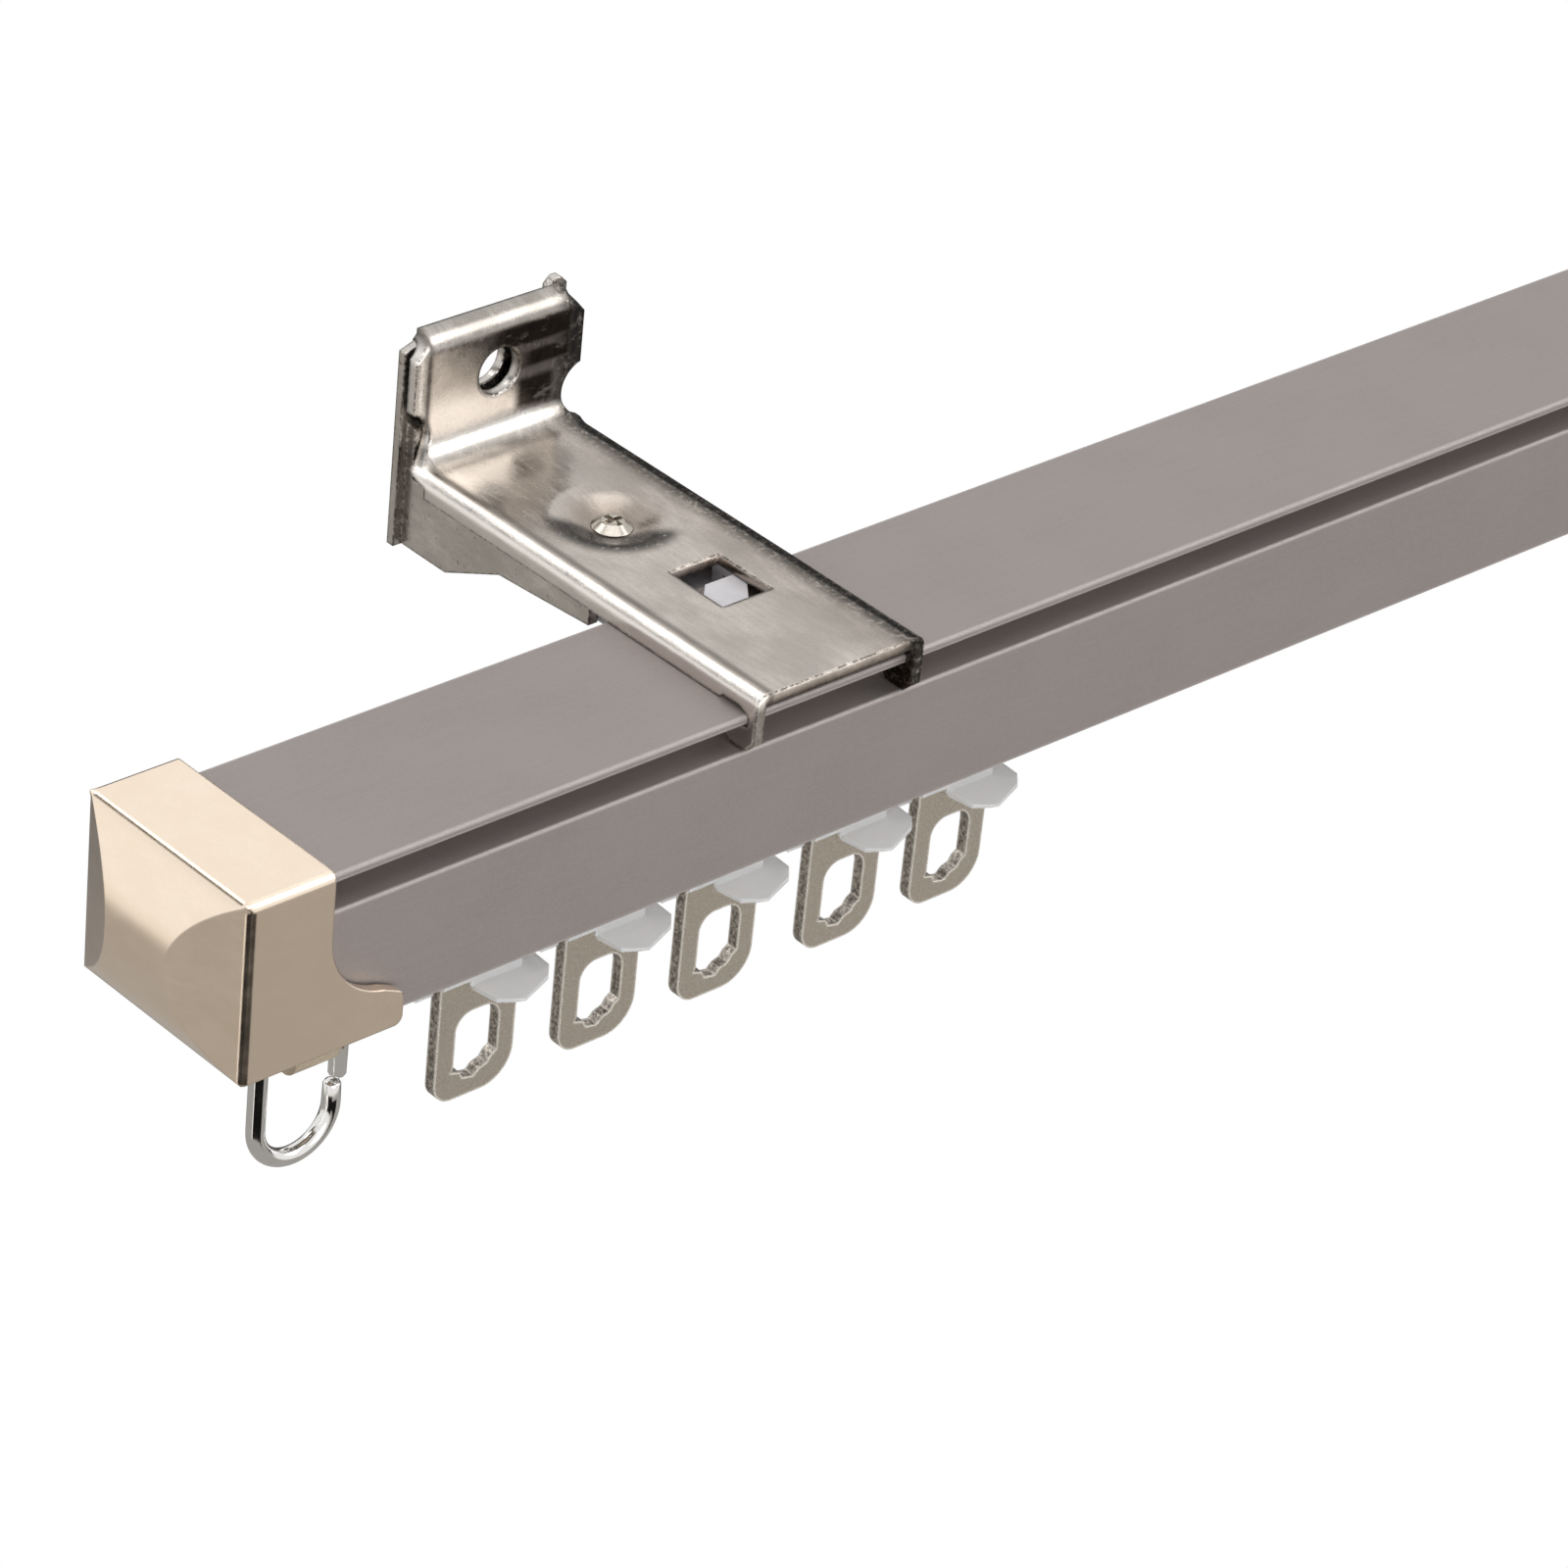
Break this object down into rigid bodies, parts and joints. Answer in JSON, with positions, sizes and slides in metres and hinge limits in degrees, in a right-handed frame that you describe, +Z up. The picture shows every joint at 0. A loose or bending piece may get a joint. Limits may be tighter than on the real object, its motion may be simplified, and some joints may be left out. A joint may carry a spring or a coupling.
{
  "type": "curtain track",
  "caption": "Slotted metal curtain rail on two clip-on wall brackets, with end caps, fixed end rings and sliding hook gliders.",
  "frame": {"origin": "on the wall, midway between the axes of the two wall screws", "axes": "+X along the rail, +Y into the wall, +Z up; the room is on the -Y side"},
  "size_m": [0.4074, 0.0573, 0.0585],
  "materials": {
    "rail": "satin grey coating",
    "cap": "metallic champagne",
    "bracket": "bright nickel plate",
    "ring": "polished",
    "eyelet": "satin nickel",
    "glider": "translucent white",
    "lock": "white",
    "screw": "plated"
  },
  "bodies": {
    "track": {"rail": "rail", "end_cap_left": "cap", "stop_block_left": "cap", "grub_screw_left": "screw", "bracket_arm_left": "bracket", "bracket_base_left": "bracket", "clamp_screw_left": "screw", "end_cap_right": "cap", "stop_block_right": "cap", "grub_screw_right": "screw", "bracket_arm_right": "bracket", "bracket_base_right": "bracket", "clamp_screw_right": "screw"},
    "end_ring_left": {"end_ring_left": "ring"},
    "rail_lock_left": {"rail_lock_left": "lock"},
    "end_ring_right": {"end_ring_right": "ring"},
    "rail_lock_right": {"rail_lock_right": "lock"},
    "glider_1": {"glider_1": "glider", "eyelet_1": "eyelet"},
    "glider_2": {"glider_2": "glider", "eyelet_2": "eyelet"},
    "glider_3": {"glider_3": "glider", "eyelet_3": "eyelet"},
    "glider_4": {"glider_4": "glider", "eyelet_4": "eyelet"},
    "glider_5": {"glider_5": "glider", "eyelet_5": "eyelet"}
  },
  "joints": [
    {"name": "end_ring_left_swing", "type": "hinge", "parent": "track", "child": "end_ring_left", "pos_m": [-0.1834, -0.045, -0.0377], "axis": [1, 0, 0], "range_deg": [-110, 110]},
    {"name": "rail_lock_left_slide", "type": "slide", "parent": "track", "child": "rail_lock_left", "axis": [0, 1, 0], "range_m": [0, 0.0034]},
    {"name": "end_ring_right_swing", "type": "hinge", "parent": "track", "child": "end_ring_right", "pos_m": [0.1834, -0.045, -0.0377], "axis": [1, 0, 0], "range_deg": [-110, 110]},
    {"name": "rail_lock_right_slide", "type": "slide", "parent": "track", "child": "rail_lock_right", "axis": [0, 1, 0], "range_m": [0, 0.0034]},
    {"name": "glider_1_slide", "type": "slide", "parent": "track", "child": "glider_1", "axis": [1, 0, 0], "range_m": [-0.00785, 0.053]},
    {"name": "glider_2_slide", "type": "slide", "parent": "glider_1", "child": "glider_2", "axis": [1, 0, 0], "range_m": [-0.0029, 0.053]},
    {"name": "glider_3_slide", "type": "slide", "parent": "glider_2", "child": "glider_3", "axis": [1, 0, 0], "range_m": [-0.00275, 0.053]},
    {"name": "glider_4_slide", "type": "slide", "parent": "glider_3", "child": "glider_4", "axis": [1, 0, 0], "range_m": [-0.00395, 0.053]},
    {"name": "glider_5_slide", "type": "slide", "parent": "glider_4", "child": "glider_5", "axis": [1, 0, 0], "range_m": [-0.002, 0.053]}
  ]
}
